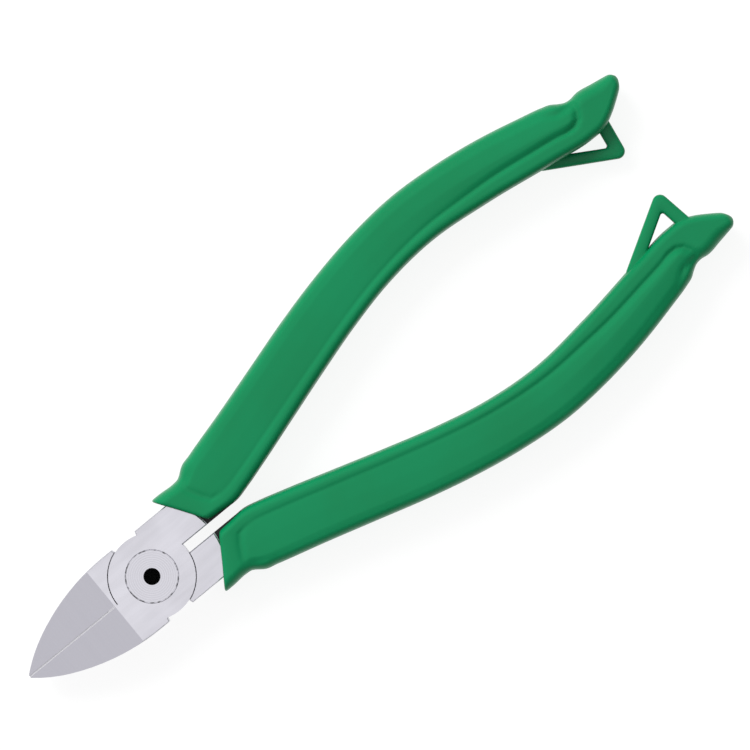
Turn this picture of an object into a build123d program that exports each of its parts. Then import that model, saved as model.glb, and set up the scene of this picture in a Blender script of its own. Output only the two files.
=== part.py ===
from build123d import *
import os
from math import cos, pi, radians, sin, sqrt, tan

# Flush cut pliers, millimetres.
# Two lapped steel halves turn on one rivet, and each carries a moulded grip.
# The origin is the pivot, on the lap plane. +X runs to the handle ends, +Y is
# the side of the front half's handle, and +Z is up out of the tool's face.
# The rear half and its grip are the front ones turned over about the X axis.

os.makedirs("parts", exist_ok=True)

# ---- driving dimensions ------------------------------------------------

blade_reach = 30.3  # pivot to blade tip
handle_reach = 129.7  # pivot to the far end of the grips
head_thickness = 9.0  # over both laps
head_half_width = 8.8  # pivot line to the side of jaw and boss
disc_radius = 8.4  # round lap of each half
disc_gap = 0.2  # round lap to the pocket it turns in
lap_gap = 0.04  # between the two lap faces
opening_angle = 36.0  # jaws closed to shoulders touching, degrees
stop_slack = 0.5  # left between the shoulders when open, degrees

edge_gap = 0.01  # each cutting face back from the middle line
jaw_straight_end = 5.0  # the side of the jaw runs straight this far from the pivot
nose_length = 6.3  # last, more curved part of the jaw
nose_half_width = 4.45  # where that part starts
tip_half_width = 0.35
face_grind_start = 9.1  # pivot to the start of the ground front face
face_grind_drop = 3.3  # how far the ground face falls to the tip
back_grind_start = 11.0
back_grind_drop = 3.7
bevel_angle = 30.0  # inner bevel behind each cutting edge, degrees
bevel_start = 10.6  # pivot to where the inner bevel begins
edge_land = 0.35  # flat meeting face behind each cutting edge
edge_break_width = 0.2  # small honed bevel along each cutting edge
edge_break_depth = 0.05

tang_inner_y = 1.0  # half of the slot between the two tangs
boss_radius = 14.5  # polished boss, about the pivot
tang_thickness = 6.0  # blackened tang beyond the boss
tang_straight_end = 21.0  # the slot stays parallel up to here
tang_end_clearance = 34.0  # tang's end to the grip's end
tang_end_y = 22.6  # outer side of the tang at its end
tang_end_width = 5.0
tang_root = (11.6, 6.6)  # outer side of the tang, inside the boss
side_break = 0.2  # broken edge round boss, jaw and lap

rivet_shank_radius = 3.5
rivet_head_radius = 5.2
rivet_head_depth = 1.7
rivet_play = 0.05  # rivet to the turning half
rivet_hole_radius = 1.6
rivet_hole_depth = 6.5
rivet_rim_break = 0.12

grip_thickness = 11.0
grip_edge_round = 0.8
grip_body_start = 20.0  # pivot to the end of the guard's flare
tail_length = 13.5  # notch before the tail to the grip's end
guard_tip = (8.7, 11.05)
guard_neck = (14.2, 10.8)
mouth_outer = (10.0, 9.0)  # the grip's mouth crosses the boss on this curve
mouth_middle = (13.5, 4.95)
mouth_inner = (15.4, 1.2)
loop_strip = 2.5  # width of the hanging loop's strip
loop_thickness = 3.6
loop_level = -2.4  # middle of the front grip's loop
loop_length = 23.5  # start of the loop to the grip's end
loop_corner_back = 9.2  # loop's free corner to the grip's end
loop_corner_y = 4.6
loop_corner_round = 1.5
loop_root_back = 6.2  # the loop's short side to the grip's end, at its root
loop_root_y = 12.9

# ---- sizes that follow ---------------------------------------------------

half_head = head_thickness / 2
half_lap = lap_gap / 2
half_grip = grip_thickness / 2
half_tang = tang_thickness / 2
pocket_radius = disc_radius + disc_gap
shoulder_angle = (opening_angle + stop_slack) / 2
shoulder_x = head_half_width * tan(radians(shoulder_angle))
grip_body_end = handle_reach - tail_length
grip_body_length = grip_body_end - grip_body_start
tang_end = handle_reach - tang_end_clearance
over = 1.0  # how far a cutting shape runs past what it cuts
slack = 0.001  # for picking edges by their place


def station(share, y):
    """A point of the grip's outline, by its share of the grip's body."""
    return (grip_body_start + share * grip_body_length, y)


# The grip's two long edges between the guard and the tail.
outer_edge = [
    station(0, 13.2),
    station(0.31, 21.8),
    station(0.52, 26.15),
    station(0.65, 27.2),
    station(0.83, 25.1),
    station(1, 21.2),
]
inner_edge = [
    station(1, 11.3),
    station(0.83, 13.8),
    station(0.65, 15.7),
    station(0.52, 14.75),
    station(0.31, 9.6),
    station(0.03, 1.05),
]

# ---- blank of one half, before grinding -----------------------------------
# Handle side on +Y, jaw side on -Y, round lap above the lap plane.

with BuildPart() as blank:
    with BuildSketch(Plane.XY.offset(-half_head)):
        with BuildLine():
            nose_point = (-(blade_reach - nose_length), -nose_half_width)
            jaw_side = Line((-shoulder_x, -head_half_width), (-jaw_straight_end, -head_half_width))
            jaw_curve = TangentArc(jaw_side @ 1, nose_point, tangent=jaw_side % 1)
            nose_curve = TangentArc(
                nose_point, (-blade_reach, -tip_half_width), tangent=jaw_curve % 1
            )
            Polyline(
                nose_curve @ 1,
                (-blade_reach, -edge_gap),
                (0, -edge_gap),
                (-shoulder_x, -head_half_width),
            )
        make_face()
        with BuildLine():
            boss_corner = (sqrt(boss_radius**2 - head_half_width**2), head_half_width)
            boss_inner = (sqrt(boss_radius**2 - tang_inner_y**2), tang_inner_y)
            boss_middle = (boss_radius * cos(pi / 8), boss_radius * sin(pi / 8))
            Polyline(
                boss_inner,
                (tang_inner_y * tan(radians(shoulder_angle)), tang_inner_y),
                (shoulder_x, head_half_width),
                boss_corner,
            )
            ThreePointArc(boss_corner, boss_middle, boss_inner)
        make_face()
    extrude(amount=head_thickness)
    with BuildSketch(Plane.XY.offset(-half_head)):
        Circle(pocket_radius)
    extrude(amount=half_head + half_lap, mode=Mode.SUBTRACT)
    with BuildSketch(Plane.XY.offset(half_lap)):
        Circle(disc_radius)
    extrude(amount=half_head - half_lap)
    with BuildSketch(Plane.XY.offset(-half_tang)):
        with BuildLine():
            tang_outer = Spline(
                tang_root,
                station(0.31, 18.6),
                station(0.52, 22.9),
                (tang_end, tang_end_y),
            )
            tang_inner = Spline(
                (tang_end, tang_end_y - tang_end_width),
                station(0.52, 17.9),
                station(0.31, 12.8),
                (tang_straight_end, tang_inner_y),
            )
            ThreePointArc(
                tang_outer @ 1,
                (tang_end + tang_end_width / 2, tang_end_y - tang_end_width / 2),
                tang_inner @ 0,
            )
            Polyline(
                tang_inner @ 1,
                (tang_root[0], tang_inner_y),
                tang_root,
            )
        make_face()
    extrude(amount=tang_thickness)

# ---- grinding shapes shared by both jaws -----------------------------------

with BuildPart() as face_grind:
    with BuildSketch(Plane.XZ):
        with BuildLine():
            grind_slope = face_grind_drop / (blade_reach - face_grind_start)
            Polyline(
                (-face_grind_start, half_head),
                (-blade_reach - over, half_head - face_grind_drop - over * grind_slope),
                (-blade_reach - over, half_head + over),
                (-face_grind_start, half_head + over),
                close=True,
            )
        make_face()
    extrude(amount=head_half_width + over, both=True)

with BuildPart() as back_grind:
    with BuildSketch(Plane.XZ):
        with BuildLine():
            back_slope = back_grind_drop / (blade_reach - back_grind_start)
            Polyline(
                (-back_grind_start, -half_head),
                (-blade_reach - over, -half_head + back_grind_drop + over * back_slope),
                (-blade_reach - over, -half_head - over),
                (-back_grind_start, -half_head - over),
                close=True,
            )
        make_face()
    extrude(amount=head_half_width + over, both=True)

# Both cutting edges lie along this line of the ground face, from its upper end.
edge_start = Vector(-face_grind_start, 0, half_head)
edge_run = Vector(face_grind_start - blade_reach, 0, -face_grind_drop)
bevel_offset = (bevel_start - face_grind_start) / (blade_reach - face_grind_start)
bevel_plane = Plane(origin=edge_start + edge_run * bevel_offset, x_dir=(0, 1, 0), z_dir=edge_run)

with BuildPart() as edge_bevels:
    with BuildSketch(bevel_plane):
        with BuildLine():
            bevel_depth = head_thickness + over
            bevel_half = (bevel_depth - edge_land) * tan(radians(bevel_angle))
            Polyline(
                (0, edge_land),
                (bevel_half, bevel_depth),
                (-bevel_half, bevel_depth),
                close=True,
            )
        make_face()
    extrude(amount=edge_run.length + over)
    with BuildSketch(bevel_plane):
        with BuildLine():
            Polyline(
                (0, edge_break_depth),
                (2 * edge_break_width, -edge_break_depth),
                (-2 * edge_break_width, -edge_break_depth),
                close=True,
            )
        make_face()
    extrude(amount=edge_run.length + over)

# ---- rivet hole, opened a little in the half that turns --------------------


def rivet_body(play):
    """The rivet's shank and its two countersunk heads, grown by the play."""
    with BuildPart() as body:
        with BuildSketch(Plane.XZ):
            with BuildLine():
                Polyline(
                    (0, -half_head),
                    (rivet_head_radius + play, -half_head),
                    (rivet_shank_radius + play, -half_head + rivet_head_depth),
                    (rivet_shank_radius + play, half_head - rivet_head_depth),
                    (rivet_head_radius + play, half_head),
                    (0, half_head),
                    close=True,
                )
            make_face()
        revolve(axis=Axis.Z)
    return body.part


def outer_edges(half):
    """The half's sharp side edges, without its pocket, hole and meeting faces."""
    near = half.edges().filter_by_position(Axis.Z, half_head - slack, half_head + slack)
    far = half.edges().filter_by_position(Axis.Z, -half_head - slack, -half_head + slack)
    chosen = []
    for edge in near + far:
        middle = edge @ 0.5
        reach = sqrt(middle.X**2 + middle.Y**2)
        if abs(middle.Y) < edge_break_width or middle.X < edge_break_width - face_grind_start:
            continue
        if reach > pocket_radius + slack:
            chosen.append(edge)
    return chosen


# ---- front half --------------------------------------------------------------

with BuildPart() as front_half:
    add(blank.part)
    add(face_grind.part, mode=Mode.SUBTRACT)
    add(back_grind.part, mode=Mode.SUBTRACT)
    add(edge_bevels.part, mode=Mode.SUBTRACT)
    add(rivet_body(0), mode=Mode.SUBTRACT)
    chamfer(outer_edges(front_half), side_break)

# ---- rear half: the same blank turned over, ground from the same side ---------

with BuildPart() as rear_half:
    add(blank.part, rotation=(180, 0, 0))
    add(face_grind.part, mode=Mode.SUBTRACT)
    add(back_grind.part, mode=Mode.SUBTRACT)
    add(edge_bevels.part, mode=Mode.SUBTRACT)
    add(rivet_body(rivet_play), mode=Mode.SUBTRACT)
    chamfer(outer_edges(rear_half), side_break)

# ---- rivet -------------------------------------------------------------------

with BuildPart() as pivot_rivet:
    add(rivet_body(0))
    with Locations((0, 0, half_head)):
        Hole(rivet_hole_radius, depth=rivet_hole_depth)
    rims = pivot_rivet.edges().filter_by(GeomType.CIRCLE).sort_by(SortBy.RADIUS)[-2:]
    chamfer(rims, rivet_rim_break)

# ---- grip of the front half ----------------------------------------------------

with BuildPart() as front_grip:
    with BuildSketch(Plane.XY.offset(-half_grip)):
        with BuildLine():
            ThreePointArc(guard_tip, (11.3, 11.25), guard_neck)
            Spline(guard_neck, (17.2, 12.4), outer_edge[0])
            Spline(*outer_edge)
            tail_top = Spline(
                outer_edge[-1],
                (handle_reach - 11, 19.8),
                (handle_reach - 7, 19.8),
                (handle_reach - 0.8, 18.3),
            )
            tail_nose = ThreePointArc(
                tail_top @ 1, (handle_reach, 17.4), (handle_reach - 0.7, 16.3)
            )
            tail_end = ThreePointArc(
                tail_nose @ 1, (handle_reach - 3.6, 13.9), (handle_reach - 7, 12.0)
            )
            Line(tail_end @ 1, inner_edge[0])
            inner_side = Spline(*inner_edge)
            Line(inner_side @ 1, mouth_inner)
            ThreePointArc(mouth_inner, mouth_middle, mouth_outer)
            Line(mouth_outer, guard_tip)
        make_face()
    extrude(amount=grip_thickness)
    fillet(front_grip.edges().filter_by(Axis.Z, reverse=True), grip_edge_round)
    with BuildSketch(Plane.XY.offset(loop_level - loop_thickness / 2)):
        with BuildLine():
            loop_root = (handle_reach - loop_length, loop_root_y)
            loop_corner = (handle_reach - loop_corner_back, loop_corner_y)
            loop_heel = (handle_reach - loop_root_back, loop_root_y)
            Polyline(
                loop_root,
                loop_corner,
                loop_heel,
                (handle_reach - loop_root_back - loop_strip, loop_root_y + loop_strip),
                (handle_reach - loop_length, loop_root_y + loop_strip),
                close=True,
            )
        loop_face = make_face()
        fillet(loop_face.vertices().sort_by(Axis.Y)[0], loop_corner_round)
        with BuildLine(mode=Mode.PRIVATE) as triangle:
            Polyline(loop_root, loop_corner, loop_heel, close=True)
        opening = make_face(triangle.edges(), mode=Mode.PRIVATE)
        offset(opening, amount=-loop_strip, kind=Kind.INTERSECTION, mode=Mode.SUBTRACT)
    extrude(amount=loop_thickness)
    add(front_half.part, mode=Mode.SUBTRACT)

# ---- grip of the rear half: the same moulding turned over -----------------------

with BuildPart() as rear_grip:
    add(front_grip.part, rotation=(180, 0, 0))

# ---- one file for each piece --------------------------------------------------

for name, piece in (
    ("front_half", front_half),
    ("rear_half", rear_half),
    ("pivot_rivet", pivot_rivet),
    ("front_grip", front_grip),
    ("rear_grip", rear_grip),
):
    piece.part.label = name
    export_step(piece.part, "parts/" + name + ".step")
    print(name, len(piece.part.solids()), round(piece.part.volume, 1))
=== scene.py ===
from math import cos, pi, radians, sin, tau

import bmesh
import bpy
import numpy as np
from mathutils import Matrix, Vector


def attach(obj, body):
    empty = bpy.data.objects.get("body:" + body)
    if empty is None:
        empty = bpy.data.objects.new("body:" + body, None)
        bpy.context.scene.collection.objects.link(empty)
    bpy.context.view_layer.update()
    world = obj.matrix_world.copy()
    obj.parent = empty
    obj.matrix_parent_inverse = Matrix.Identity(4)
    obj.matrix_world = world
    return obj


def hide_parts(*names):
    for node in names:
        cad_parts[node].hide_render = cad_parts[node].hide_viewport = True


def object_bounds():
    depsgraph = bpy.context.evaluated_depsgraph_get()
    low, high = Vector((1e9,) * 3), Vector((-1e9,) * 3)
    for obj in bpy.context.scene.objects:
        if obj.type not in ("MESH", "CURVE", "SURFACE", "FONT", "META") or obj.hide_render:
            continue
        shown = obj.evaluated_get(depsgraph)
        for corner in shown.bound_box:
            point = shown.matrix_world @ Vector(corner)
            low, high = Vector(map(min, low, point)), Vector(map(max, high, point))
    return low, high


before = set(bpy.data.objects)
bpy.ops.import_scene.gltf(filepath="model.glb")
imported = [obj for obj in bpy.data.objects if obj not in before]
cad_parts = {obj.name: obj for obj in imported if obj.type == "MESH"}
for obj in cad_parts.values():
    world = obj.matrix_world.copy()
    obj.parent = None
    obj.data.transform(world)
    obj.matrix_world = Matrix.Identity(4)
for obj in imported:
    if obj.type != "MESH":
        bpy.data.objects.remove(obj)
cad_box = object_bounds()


# ---- Camera -----------------------------------------------------------------
# The tool lies on its back and is seen from straight above, turned so that the
# handles point to the upper right. A long lens keeps the view almost parallel.
MM = 0.001
camera_height = 2000 * MM
view_width = 143.7 * MM
view_centre = Vector((57.4, 2.7, 0)) * MM
handle_tilt = radians(39.4)

camera_data = bpy.data.cameras.new("studio_camera")
camera_data.lens = camera_data.sensor_width * camera_height / view_width
camera = bpy.data.objects.new("studio_camera", camera_data)
camera.location = view_centre + Vector((0, 0, camera_height))
camera.rotation_euler = (0, 0, -handle_tilt)
bpy.context.collection.objects.link(camera)
bpy.context.scene.camera = camera
bpy.context.scene.view_settings.view_transform = "Standard"


# ---- Bench and studio light -------------------------------------------------
# A white light table under the tool, one large soft lamp on the side of the front
# handle, and a room with a bright ceiling and darker walls, darkest on the other side.
lamp_place = (0.0, 0.86, 0.72)
lamp_size = 0.7
lamp_power = 13.2
bench_half_width = 1.5
bench_drop = 0.13 * MM  # the grips' crowned faces rest this far below the CAD box

lamp = bpy.data.lights.new("key_lamp", "AREA")
lamp.size = lamp_size
lamp.energy = lamp_power
key_lamp = bpy.data.objects.new("key_lamp", lamp)
key_lamp.location = lamp_place
lamp_aim = view_centre - key_lamp.location
key_lamp.rotation_euler = lamp_aim.to_track_quat("-Z", "Y").to_euler()
key_lamp.visible_glossy = False
bpy.context.collection.objects.link(key_lamp)

room = bpy.data.worlds.new("studio_room")
room.use_nodes = True
room_nodes = room.node_tree.nodes
room_links = room.node_tree.links
direction = room_nodes.new("ShaderNodeTexCoord").outputs["Generated"]


def room_share(towards, low, high, from_value, to_value):
    """Brightness of the room by direction, rising smoothly towards one side."""
    facing = room_nodes.new("ShaderNodeVectorMath")
    facing.operation = "DOT_PRODUCT"
    facing.inputs[1].default_value = towards
    share = room_nodes.new("ShaderNodeMapRange")
    share.interpolation_type = "SMOOTHSTEP"
    for socket, value in zip(share.inputs[1:], (low, high, from_value, to_value)):
        socket.default_value = value
    room_links.new(direction, facing.inputs[0])
    room_links.new(facing.outputs["Value"], share.inputs["Value"])
    return share.outputs[0]


ceiling_light = room_share((0, 0.17, 0.985), 0.66, 0.97, 0.12, 1.12)
wall_light = room_share((0, 1, 0), -0.6, 0.6, 0.24, 0.6)
brightness = room_nodes.new("ShaderNodeMath")
brightness.operation = "MAXIMUM"
room_links.new(ceiling_light, brightness.inputs[0])
room_links.new(wall_light, brightness.inputs[1])
room_links.new(brightness.outputs[0], room_nodes["Background"].inputs["Strength"])
room_nodes["Background"].inputs["Color"].default_value = (1, 1, 1, 1)
bpy.context.scene.world = room

bench_z = cad_box[0][2] - bench_drop
bench_corners = [
    (side * bench_half_width, end * bench_half_width, bench_z)
    for side, end in ((-1, -1), (1, -1), (1, 1), (-1, 1))
]
bench_mesh = bpy.data.meshes.new("bench_top")
bench_mesh.from_pydata(bench_corners, [], [(0, 1, 2, 3)])
bench_top = bpy.data.objects.new("bench_top", bench_mesh)
bpy.context.collection.objects.link(bench_top)
bench_paint = bpy.data.materials.new("bench_white")
bench_paint.use_nodes = True
bench_shader = bench_paint.node_tree.nodes["Principled BSDF"]
bench_shader.inputs["Base Color"].default_value = (0.16, 0.16, 0.16, 1)
bench_shader.inputs["Roughness"].default_value = 0.9
bench_shader.inputs["Specular IOR Level"].default_value = 0.1
bench_shader.inputs["Emission Color"].default_value = (1, 1, 1, 1)
bench_shader.inputs["Emission Strength"].default_value = 0.88
bench_mesh.materials.append(bench_paint)


# ---- Front and rear half ----------------------------------------------------
# Two drop forgings of alloy tool steel. The boss and laps are satin polished, the
# jaws are surface ground across their length with an edge honed along the middle,
# which is painted much lighter as a highlight, and the tangs keep a black scale.
polished_steel = (0.71, 0.70, 0.76)
ground_steel = (0.61, 0.60, 0.665)
honed_highlight_steel = (0.92, 0.91, 0.96)
# Black scale on the tangs, and also the painted shade in the rivet's blind hole.
scale_and_hole_shade_black = (0.012, 0.012, 0.013)
honed_highlight_width = 0.2 * MM
grind_line = -9.1 * MM
boss_edge = 14.52 * MM
line_blur = 0.03 * MM


class Finish:
    """One procedural material, laid out node by node in the part's own frame."""

    def __init__(self, name):
        self.material = bpy.data.materials.new(name)
        self.material.use_nodes = True
        self.tree = self.material.node_tree
        self.shader = self.tree.nodes["Principled BSDF"]
        self.place = self.tree.nodes.new("ShaderNodeTexCoord").outputs["Object"]
        split = self.tree.nodes.new("ShaderNodeSeparateXYZ")
        self.tree.links.new(self.place, split.inputs[0])
        self.x, self.y, self.z = split.outputs[0:3]

    def feed(self, socket, value):
        """Links another node's output to a socket, or sets the socket to a value."""
        if isinstance(value, bpy.types.NodeSocket):
            self.tree.links.new(value, socket)
        elif isinstance(value, tuple) and socket.type == "RGBA":
            socket.default_value = (*value, 1)
        else:
            socket.default_value = value

    def surface(self, colour, metallic, roughness):
        self.feed(self.shader.inputs["Base Color"], colour)
        self.feed(self.shader.inputs["Metallic"], metallic)
        self.feed(self.shader.inputs["Roughness"], roughness)

    def math(self, operation, *values):
        node = self.tree.nodes.new("ShaderNodeMath")
        node.operation = operation
        for socket, value in zip(node.inputs, values):
            self.feed(socket, value)
        return node.outputs[0]

    def ramp(self, value, low, high, from_value=0.0, to_value=1.0):
        """A smooth step of value between low and high."""
        node = self.tree.nodes.new("ShaderNodeMapRange")
        node.interpolation_type = "SMOOTHSTEP"
        settings = (value, low, high, from_value, to_value)
        for socket, setting in zip(node.inputs, settings):
            self.feed(socket, setting)
        return node.outputs[0]

    def mix(self, share, first, second):
        """A colour between two, by share."""
        node = self.tree.nodes.new("ShaderNodeMix")
        node.data_type = "RGBA"
        self.feed(node.inputs["Factor"], share)
        self.feed(node.inputs[6], first)
        self.feed(node.inputs[7], second)
        return node.outputs[2]

    def noise(self, stretch, detail):
        """Noise with the given number of cells in a millimetre along X, Y and Z."""
        mapping = self.tree.nodes.new("ShaderNodeMapping")
        mapping.inputs["Scale"].default_value = [cells / MM for cells in stretch]
        self.tree.links.new(self.place, mapping.inputs["Vector"])
        node = self.tree.nodes.new("ShaderNodeTexNoise")
        node.inputs["Scale"].default_value = 1.0
        node.inputs["Detail"].default_value = detail
        node.inputs["Roughness"].default_value = 0.55
        self.tree.links.new(mapping.outputs[0], node.inputs["Vector"])
        return node.outputs["Fac"]

    def radius(self):
        """Distance from the pivot's axis, in metres."""
        squares = [self.math("MULTIPLY", side, side) for side in (self.x, self.y)]
        return self.math("SQRT", self.math("ADD", *squares))

    def bump(self, height, distance, strength):
        node = self.tree.nodes.new("ShaderNodeBump")
        node.inputs["Strength"].default_value = strength
        node.inputs["Distance"].default_value = distance
        self.tree.links.new(height, node.inputs["Height"])
        self.tree.links.new(node.outputs[0], self.shader.inputs["Normal"])


def shaded(colour, share):
    """The same colour, darker or lighter."""
    return tuple(share * part for part in colour)


def forged_half_steel():
    """Satin boss, ground jaw and black tang, told apart by place on the half."""
    steel = Finish("forged_half_steel")
    grinding = steel.noise((1.5, 0.04, 0.2), detail=5.0)
    polishing = steel.noise((0.1, 0.9, 0.9), detail=4.0)
    cloud = steel.noise((0.09, 0.09, 0.09), detail=2.0)
    on_jaw = steel.ramp(steel.x, grind_line + line_blur, grind_line - line_blur)
    # Painted highlight: a lighter, rougher band along the honed edge in the middle of the jaw.
    honed_edge_highlight = steel.ramp(steel.math("ABSOLUTE", steel.y), honed_highlight_width, 0.8 * honed_highlight_width)
    past_boss = steel.ramp(steel.radius(), boss_edge, boss_edge + 0.08 * MM)
    on_tang = steel.math("MULTIPLY", past_boss, steel.ramp(steel.x, 0.0, 1.0 * MM))

    dark_mark = shaded(ground_steel, 0.975)
    light_mark = shaded(ground_steel, 1.025)
    jaw_colour = steel.mix(steel.ramp(grinding, 0.34, 0.66), dark_mark, light_mark)
    jaw_colour = steel.mix(honed_edge_highlight, jaw_colour, honed_highlight_steel)
    dull = shaded(polished_steel, 0.95)
    boss_colour = steel.mix(steel.ramp(polishing, 0.3, 0.7), dull, polished_steel)
    bare_colour = steel.mix(on_jaw, boss_colour, jaw_colour)

    jaw_rough = steel.ramp(grinding, 0.3, 0.7, 0.36, 0.42)
    jaw_rough = steel.ramp(honed_edge_highlight, 0.0, 1.0, jaw_rough, 0.62)
    boss_rough = steel.ramp(cloud, 0.3, 0.7, 0.3, 0.38)
    bare_rough = steel.ramp(on_jaw, 0.0, 1.0, boss_rough, jaw_rough)

    steel.surface(
        colour=steel.mix(on_tang, bare_colour, scale_and_hole_shade_black),
        metallic=steel.ramp(on_tang, 0.0, 1.0, 1.0, 0.3),
        roughness=steel.ramp(on_tang, 0.0, 1.0, bare_rough, 0.55),
    )
    faint_polishing = steel.math("MULTIPLY", polishing, 0.3)
    marks = steel.ramp(on_jaw, 0.0, 1.0, faint_polishing, grinding)
    steel.bump(marks, distance=0.006 * MM, strength=0.5)
    return steel.material


half_steel = forged_half_steel()
for half in ("front_half", "rear_half"):
    half_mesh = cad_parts[half].data
    half_mesh.materials.clear()
    half_mesh.materials.append(half_steel)


# ---- Pivot rivet ------------------------------------------------------------
# A turned steel rivet, pressed into the front half and faced off flush with it. The
# lathe's rings still show, the pressed rim shows as a broken dark line of painted shadow,
# and the blind hole is painted black as shade.
rivet_rim = 5.1 * MM
ring_pitch = 0.42 * MM
rivet_hole = 1.62 * MM
hole_floor = -2.05 * MM
dark_ring = (0.62, 0.61, 0.665)
bright_ring = (0.70, 0.69, 0.75)
rim_shadow = (0.16, 0.16, 0.17)


def turned_rivet_steel():
    """Rings about the axis, a broken rim line of painted shadow, and painted shade in the
    blind hole.
    """
    steel = Finish("turned_rivet_steel")
    radius = steel.radius()
    ring_wave = steel.math("SINE", steel.math("MULTIPLY", radius, tau / ring_pitch))
    ring_drift = steel.noise((0.25, 0.25, 0.25), detail=2.0)
    rings = steel.math("MULTIPLY", ring_wave, ring_drift)
    ring_colour = steel.mix(steel.ramp(rings, -0.6, 0.6), dark_ring, bright_ring)

    # Painted shadow: a broken dark line just inside the rivet's pressed rim.
    rim_breaks = steel.ramp(steel.noise((0.9, 0.9, 0.05), detail=1.0), 0.42, 0.6)
    rim_line = steel.ramp(radius, rivet_rim - 0.25 * MM, rivet_rim - 0.1 * MM)
    rim_shadow_mask = steel.math("MULTIPLY", rim_line, rim_breaks)
    head_colour = steel.mix(rim_shadow_mask, ring_colour, rim_shadow)

    # The hole is blind, and its wall is painted black as shade, ending short of the rivet's
    # far face.
    near_axis = steel.ramp(radius, rivet_hole + line_blur, rivet_hole)
    above_floor = steel.ramp(steel.z, hole_floor - 1 * MM, hole_floor)
    hole_shade_mask = steel.math("MULTIPLY", near_axis, above_floor)
    steel.surface(
        colour=steel.mix(hole_shade_mask, head_colour, scale_and_hole_shade_black),
        metallic=steel.ramp(hole_shade_mask, 0.0, 1.0, 1.0, 0.2),
        roughness=steel.ramp(hole_shade_mask, 0.0, 1.0, 0.33, 0.8),
    )
    steel.bump(rings, distance=0.01 * MM, strength=0.6)
    return steel.material


rivet_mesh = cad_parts["pivot_rivet"].data
rivet_mesh.materials.clear()
rivet_mesh.materials.append(turned_rivet_steel())


# ---- Grips ------------------------------------------------------------------
# One moulding in green plastic for both handles, turned over for the second, with its
# tang inside. It has a flared mouth with a finger guard, a long sunk panel between two
# rims, a flat fishtail, and a triangular hanging loop on the inside of the tail.

# All sizes of the grips are in millimetres, from the pivot, with X along the tool.
# The two sides in plan, as the front handle has them:
inner_line = [
    (15.3, 1.35), (18, 1.2), (22, 1.0), (25, 1.7), (30, 3.15), (40, 6.25), (50, 9.35),
    (60, 12.25), (70, 14.5), (82, 15.6), (95, 14.45), (110, 12.2), (118, 11.15),
    (121.5, 11.35), (124, 12.45), (127, 14.35), (128.2, 15.2), (129.7, 16.3),
]
outer_line = [
    (8.5, 11.3), (11.3, 11.25), (14.2, 11.1), (15.7, 11.35), (16.6, 12.0), (17.5, 12.65),
    (20, 13.4), (30, 16.15), (40, 19.05), (50, 21.95), (60, 24.4), (70, 26.2), (82, 27.15),
    (90, 26.7), (100, 25.35), (110, 23.15), (114.5, 22.0), (116.2, 21.4), (117.3, 20.65),
    (118.6, 19.95), (119.8, 19.8), (121.2, 20.0), (125, 19.45), (128.2, 18.9), (129.7, 18.65),
]
# How far the outer end of a cross-section stands forward of its inner end:
lean_line = [
    (15.3, 6.6), (20, 5.4), (28, 4.1), (50, 3.5), (66, 2.3), (82, 0), (98, -2.0),
    (110, -1.9), (119, -0.5), (129.7, 0),
]
# Half of the moulding's thickness:
depth_line = [
    (15.3, 5.42), (17, 5.4), (19.5, 5.12), (30, 5.15), (60, 5.38), (82, 5.42), (100, 5.3),
    (112, 5.0), (118, 4.75), (124, 4.3), (129.7, 3.7),
]
mouth_start = inner_line[0][0]
mouth_bow = 0.15  # the mouth's edge curves back this far in its middle
# The mouth's rounded lip: how far behind the edge, and how far inside the full section.
mouth_lip = [(0.25, 1.9), (0.0, 1.0), (0.04, 0.5), (0.2, 0.18), (0.5, 0.03), (0.9, 0.0)]
inner_round = 1.5  # radius of the edges on the side of the other handle
outer_round = 2.3
side_draft = 0.22  # the sides lean in this far from the mould's joint
tail_tip = 129.35
nose_length = 1.3  # the tail's end rounds off over this length
nose_depth = 0.35  # and to this share of its thickness
ring_step = 0.5
nose_rings = 14
edge_points = 8
face_points = 44


def smooth(points, x):
    """The smooth curve through the points, read at x."""
    px, py = np.array(points, float).T
    slopes = np.gradient(py, px)
    x = np.clip(x, px[0], px[-1])
    k = np.clip(np.searchsorted(px, x) - 1, 0, len(px) - 2)
    span = px[k + 1] - px[k]
    t = (x - px[k]) / span
    start = (1 + 2 * t) * (1 - t) ** 2 * py[k] + t * (1 - t) ** 2 * span * slopes[k]
    end = t * t * (3 - 2 * t) * py[k + 1] + t * t * (t - 1) * span * slopes[k + 1]
    return start + end


def ease(value, low, high):
    """Smooth step from 0 at low to 1 at high."""
    t = np.clip((value - low) / (high - low), 0, 1)
    return t * t * (3 - 2 * t)


def section(width, depth, inset):
    """One closed cross-section: distance from the inner side, and height."""
    width = width - 2 * inset
    depth = depth - inset
    draft = min(side_draft, 0.06 * width)
    sides = []
    for edge_round in (inner_round, outer_round):
        bend = min(edge_round, 0.38 * width, 0.85 * depth)
        straight = depth - bend
        wall = [(draft * k * k, straight * k) for k in (0.0, 0.4, 0.8)]
        edge = [
            (draft + bend * (1 - cos(a)), straight + bend * sin(a))
            for a in np.linspace(0, pi / 2, edge_points)
        ]
        sides.append(wall + edge)
    near, far = sides
    across_face = np.linspace(near[-1][0], width - far[-1][0], face_points)[1:-1]
    face = [(u, depth) for u in across_face]
    upper = near + face + [(width - u, z) for u, z in reversed(far)]
    lower = [(u, -z) for u, z in reversed(upper[1:-1])]
    return [(u + inset, z) for u, z in upper + lower]


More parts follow.
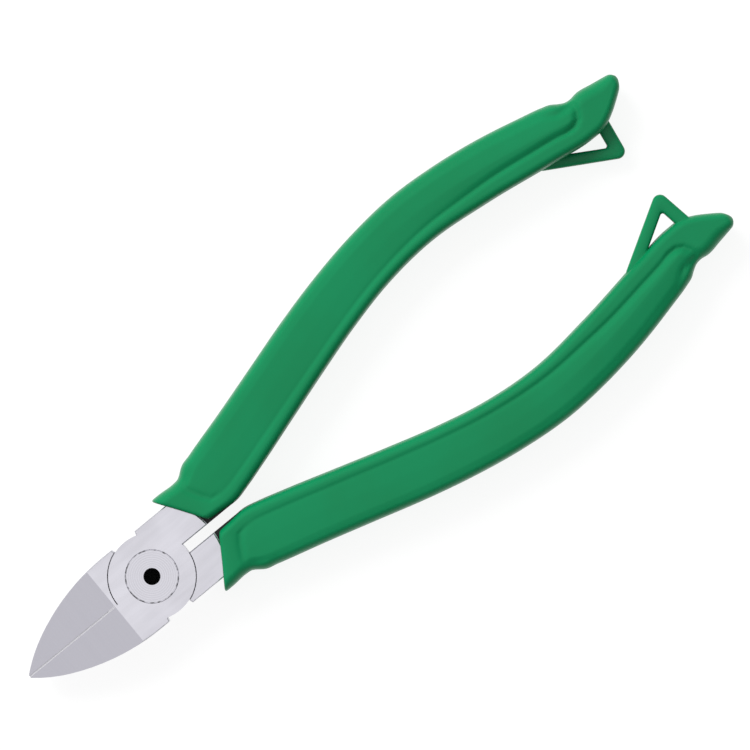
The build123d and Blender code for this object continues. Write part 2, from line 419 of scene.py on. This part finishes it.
def grip_body():
    """Rings of points, from the mouth's lip to the rounded end of the tail."""
    starts = [mouth_start + back for back, _ in mouth_lip]
    nose_start = tail_tip - nose_length
    middle = np.arange(starts[-1] + ring_step, nose_start, ring_step)
    end = nose_start + nose_length * np.sin(np.linspace(0.05, 0.46, nose_rings) * pi)
    stations = np.concatenate([starts, middle, end])
    insets = [inset for _, inset in mouth_lip]
    insets += [0.0] * (len(stations) - len(insets))
    rings = []
    for x, inset in zip(stations, insets):
        inner_end = np.array([x, smooth(inner_line, x)])
        outer_x = x - smooth(lean_line, x)
        outer_end = np.array([outer_x, smooth(outer_line, outer_x)])
        full_width = np.linalg.norm(outer_end - inner_end)
        across = (outer_end - inner_end) / full_width
        past_nose = max(0.0, x - nose_start) / nose_length
        taper = np.sqrt(1 - past_nose**2)
        width = full_width * taper
        start = inner_end + across * (full_width - width) / 2
        depth = smooth(depth_line, x) * (nose_depth + (1 - nose_depth) * taper)
        bow = mouth_bow * (1 - ease(x, mouth_start, 24))
        ring = []
        for u, z in section(width, depth, inset):
            t = u / width
            spot = start + across * u
            ring.append((spot[0] + bow * 4 * t * (1 - t), spot[1], z))
        rings.append(ring)
    return np.array(rings)


# The sunk panel: the widths of the rims beside it, its end above the notch, and its
# other end, which is the crease behind the mouth.
panel_start, panel_end = 20, 113
inner_rim = [(20, 2.9), (88, 2.9), (100, 3.6), (113, 3.8)]
outer_rim = [(20, 1.75), (60, 1.75), (88, 1.5), (113, 1.4)]
notch_end = [
    (115.3, 15.0), (117.1, 15.05), (118.4, 15.8), (119.2, 17.1), (119.6, 18.2),
    (119.2, 18.9), (117.8, 19.0), (116.0, 19.2),
]
mouth_crease = [(17.0, 10.4), (15.4, 9.6), (15.8, 8.2), (17.0, 5.9), (18.2, 4.3)]
panel_sink = 0.16
crown_offset = 0.3  # the panel is highest this far outside its middle
groove_width = 0.5
mouth_groove = 0.26
tail_groove = 0.4


def panel_outline():
    """The sunk panel's edge: along both rims, and round both ends."""
    xs = np.linspace(panel_start, panel_end, 60)
    inner = np.column_stack([xs, smooth(inner_line, xs) + smooth(inner_rim, xs)])
    outer = np.column_stack([xs, smooth(outer_line, xs) - smooth(outer_rim, xs)])
    return np.concatenate([inner, notch_end, outer[::-1], mouth_crease])


def outline_distance(points, outline):
    """Distance of each point to the outline, positive inside it."""
    start, end = outline, np.roll(outline, -1, axis=0)
    run = end - start
    away = points[:, None, :] - start[None]
    share = np.clip((away * run).sum(2) / (run * run).sum(1), 0, 1)
    distance = np.linalg.norm(away - share[..., None] * run, axis=2).min(1)
    py = points[:, 1:2]
    crossing = (start[:, 1] > py) != (end[:, 1] > py)
    rise = np.where(run[:, 1] == 0, 1e-9, run[:, 1])
    hit_x = start[:, 0] + (py - start[:, 1]) / rise * run[:, 0]
    inside = (crossing & (points[:, 0:1] < hit_x)).sum(1) % 2 == 1
    return np.where(inside, distance, -distance)


def relieve(rings):
    """Sinks the panel and the groove round it into both faces, and crowns the panel."""
    points = rings.reshape(-1, 3)
    x, y = points[:, 0], points[:, 1]
    inner_y = smooth(inner_line, x)
    outer_y = smooth(outer_line, x)
    middle_y = (inner_y + outer_y) / 2
    half_width = (outer_y - inner_y) / 2
    inward = outline_distance(points[:, :2], panel_outline())

    # The groove is faint beside the head, and deeper towards the tail and at both ends.
    outer_groove = 0.13 + 0.05 * ease(x, 40, 90)
    inner_groove = 0.07 + 0.14 * ease(x, 50, 92)
    groove_depth = np.where(y > middle_y, outer_groove, inner_groove)
    at_mouth = 1 - ease(x, 17, 21)
    groove_depth = groove_depth * (1 - at_mouth) + mouth_groove * at_mouth
    at_tail = ease(x, panel_end, 117.5)
    groove_depth = groove_depth * (1 - at_tail) + tail_groove * at_tail
    groove = groove_depth * np.exp(-((inward / groove_width) ** 2))

    sink = panel_sink * ease(inward, -0.4, 0.5) * ease(x, 16, 26)
    off_crown = np.abs(y - (middle_y + crown_offset)) / half_width
    dome = ease(1 - off_crown, 0.25, 1.1)
    crown = (0.1 + 0.4 * ease(x, 70, 105)) * dome * ease(inward, 0, 1.5)
    depth = smooth(depth_line, x)
    on_face = ease(np.abs(points[:, 2]), depth - 1.3, depth - 0.35)
    points[:, 2] += np.sign(points[:, 2]) * (crown - groove - sink) * on_face
    return points.reshape(rings.shape)


def tube_mesh(name, rings, closed):
    """A mesh of rings of points, joined end to start or capped at both ends."""
    size = rings.shape[1]
    mesh = bmesh.new()
    rows = [[mesh.verts.new(Vector(p) * MM) for p in ring] for ring in rings.tolist()]
    pairs = list(zip(rows, rows[1:]))
    if closed:
        pairs.append((rows[-1], rows[0]))
    for one, two in pairs:
        for k in range(size):
            after = (k + 1) % size
            mesh.faces.new((one[k], one[after], two[after], two[k]))
    if not closed:
        mesh.faces.new(list(reversed(rows[0])))
        mesh.faces.new(rows[-1])
    bmesh.ops.recalc_face_normals(mesh, faces=mesh.faces)
    data = bpy.data.meshes.new(name)
    mesh.to_mesh(data)
    mesh.free()
    return data


# The hanging loop: a triangle of rounded strip, its long root buried in the tail.
loop_corners = [(102.3, 15.3), (121.65, 4.0), (123.5, 15.0)]
loop_corner_radius = 1.5
loop_hole = [(112.0, 12.5), (119.6, 8.0), (120.3, 12.5)]
hole_corner_radius = 0.45
loop_level = -2.2  # below the grip's middle, so the turned grip's loop lies above it
loop_half_depth = 1.7
strip_roundness = 0.45  # 1 gives an oval strip, and less a squarer one
strip_points = 20
corner_steps = 8
side_steps = 10


def rounded_triangle(corners, radius):
    """Points round a triangle with rounded corners, the same number for every triangle."""
    arcs = []
    for k, corner in enumerate(corners):
        here = Vector(corner)
        back = (Vector(corners[k - 1]) - here).normalized()
        ahead = (Vector(corners[(k + 1) % 3]) - here).normalized()
        half_angle = back.angle(ahead) / 2
        centre = here + (back + ahead).normalized() * radius / sin(half_angle)
        spoke = here + back * radius / np.tan(half_angle) - centre
        turn = (pi - 2 * half_angle) / corner_steps
        arcs.append([centre + spoke])
        for _ in range(corner_steps):
            spoke.rotate(Matrix.Rotation(turn, 2))
            arcs[-1].append(centre + spoke)
    points = []
    for k, arc in enumerate(arcs):
        following = arcs[(k + 1) % 3][0]
        points += arc
        points += [arc[-1].lerp(following, step / side_steps) for step in range(1, side_steps)]
    return points


def hanging_loop(name):
    """The strip between the loop's outline and its hole, with rounded edges."""
    outline = rounded_triangle(loop_corners, loop_corner_radius)
    hole = rounded_triangle(loop_hole, hole_corner_radius)
    rings = []
    for far, near in zip(outline, hole):
        ring = []
        for step in range(strip_points):
            angle = tau * step / strip_points
            c, s = cos(angle), sin(angle)
            outward = 0.5 + 0.5 * np.sign(c) * abs(c) ** strip_roundness
            z = loop_level + loop_half_depth * np.sign(s) * abs(s) ** strip_roundness
            spot = near.lerp(far, outward)
            ring.append((spot.x, spot.y, z))
        rings.append(ring)
    return tube_mesh(name, np.array(rings), closed=True)


def moulded_grip(name, turned):
    """One grip with its loop, made for the front handle and turned over for the rear."""
    body = bpy.data.objects.new(name, tube_mesh(name, relieve(grip_body()), closed=False))
    loop = bpy.data.objects.new(name + "_loop", hanging_loop(name + "_loop"))
    for piece in (body, loop):
        if turned:
            piece.data.transform(Matrix.Rotation(pi, 4, "X"))
        bpy.context.collection.objects.link(piece)
    joined = body.modifiers.new("loop", "BOOLEAN")
    joined.operation = "UNION"
    joined.object = loop
    view_layer = bpy.context.view_layer
    view_layer.update()
    solid = bpy.data.meshes.new_from_object(body.evaluated_get(view_layer.depsgraph))
    body.modifiers.clear()
    body.data = solid
    bpy.data.objects.remove(loop)
    for face in solid.polygons:
        face.use_smooth = True
    return body


light_green = (0.002, 0.205, 0.076)
deep_green = (0.001, 0.188, 0.066)


def grip_plastic():
    """Satin green plastic with a faint moulded grain and slightly uneven colour."""
    plastic = Finish("grip_green_plastic")
    cloud = plastic.noise((0.05, 0.05, 0.05), detail=3.0)
    grain = plastic.noise((1.6, 1.6, 1.6), detail=2.0)
    plastic.shader.inputs["Specular IOR Level"].default_value = 0.2
    plastic.surface(
        colour=plastic.mix(plastic.ramp(cloud, 0.3, 0.7), deep_green, light_green),
        metallic=0.0,
        roughness=plastic.ramp(cloud, 0.3, 0.7, 0.38, 0.46),
    )
    plastic.bump(grain, distance=0.02 * MM, strength=0.35)
    return plastic.material


grip_green = grip_plastic()
for handle, turned in (("front", False), ("rear", True)):
    grip = moulded_grip(handle + "_grip_moulding", turned)
    grip.data.materials.clear()
    grip.data.materials.append(grip_green)
    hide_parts(handle + "_grip")
    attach(grip, handle)
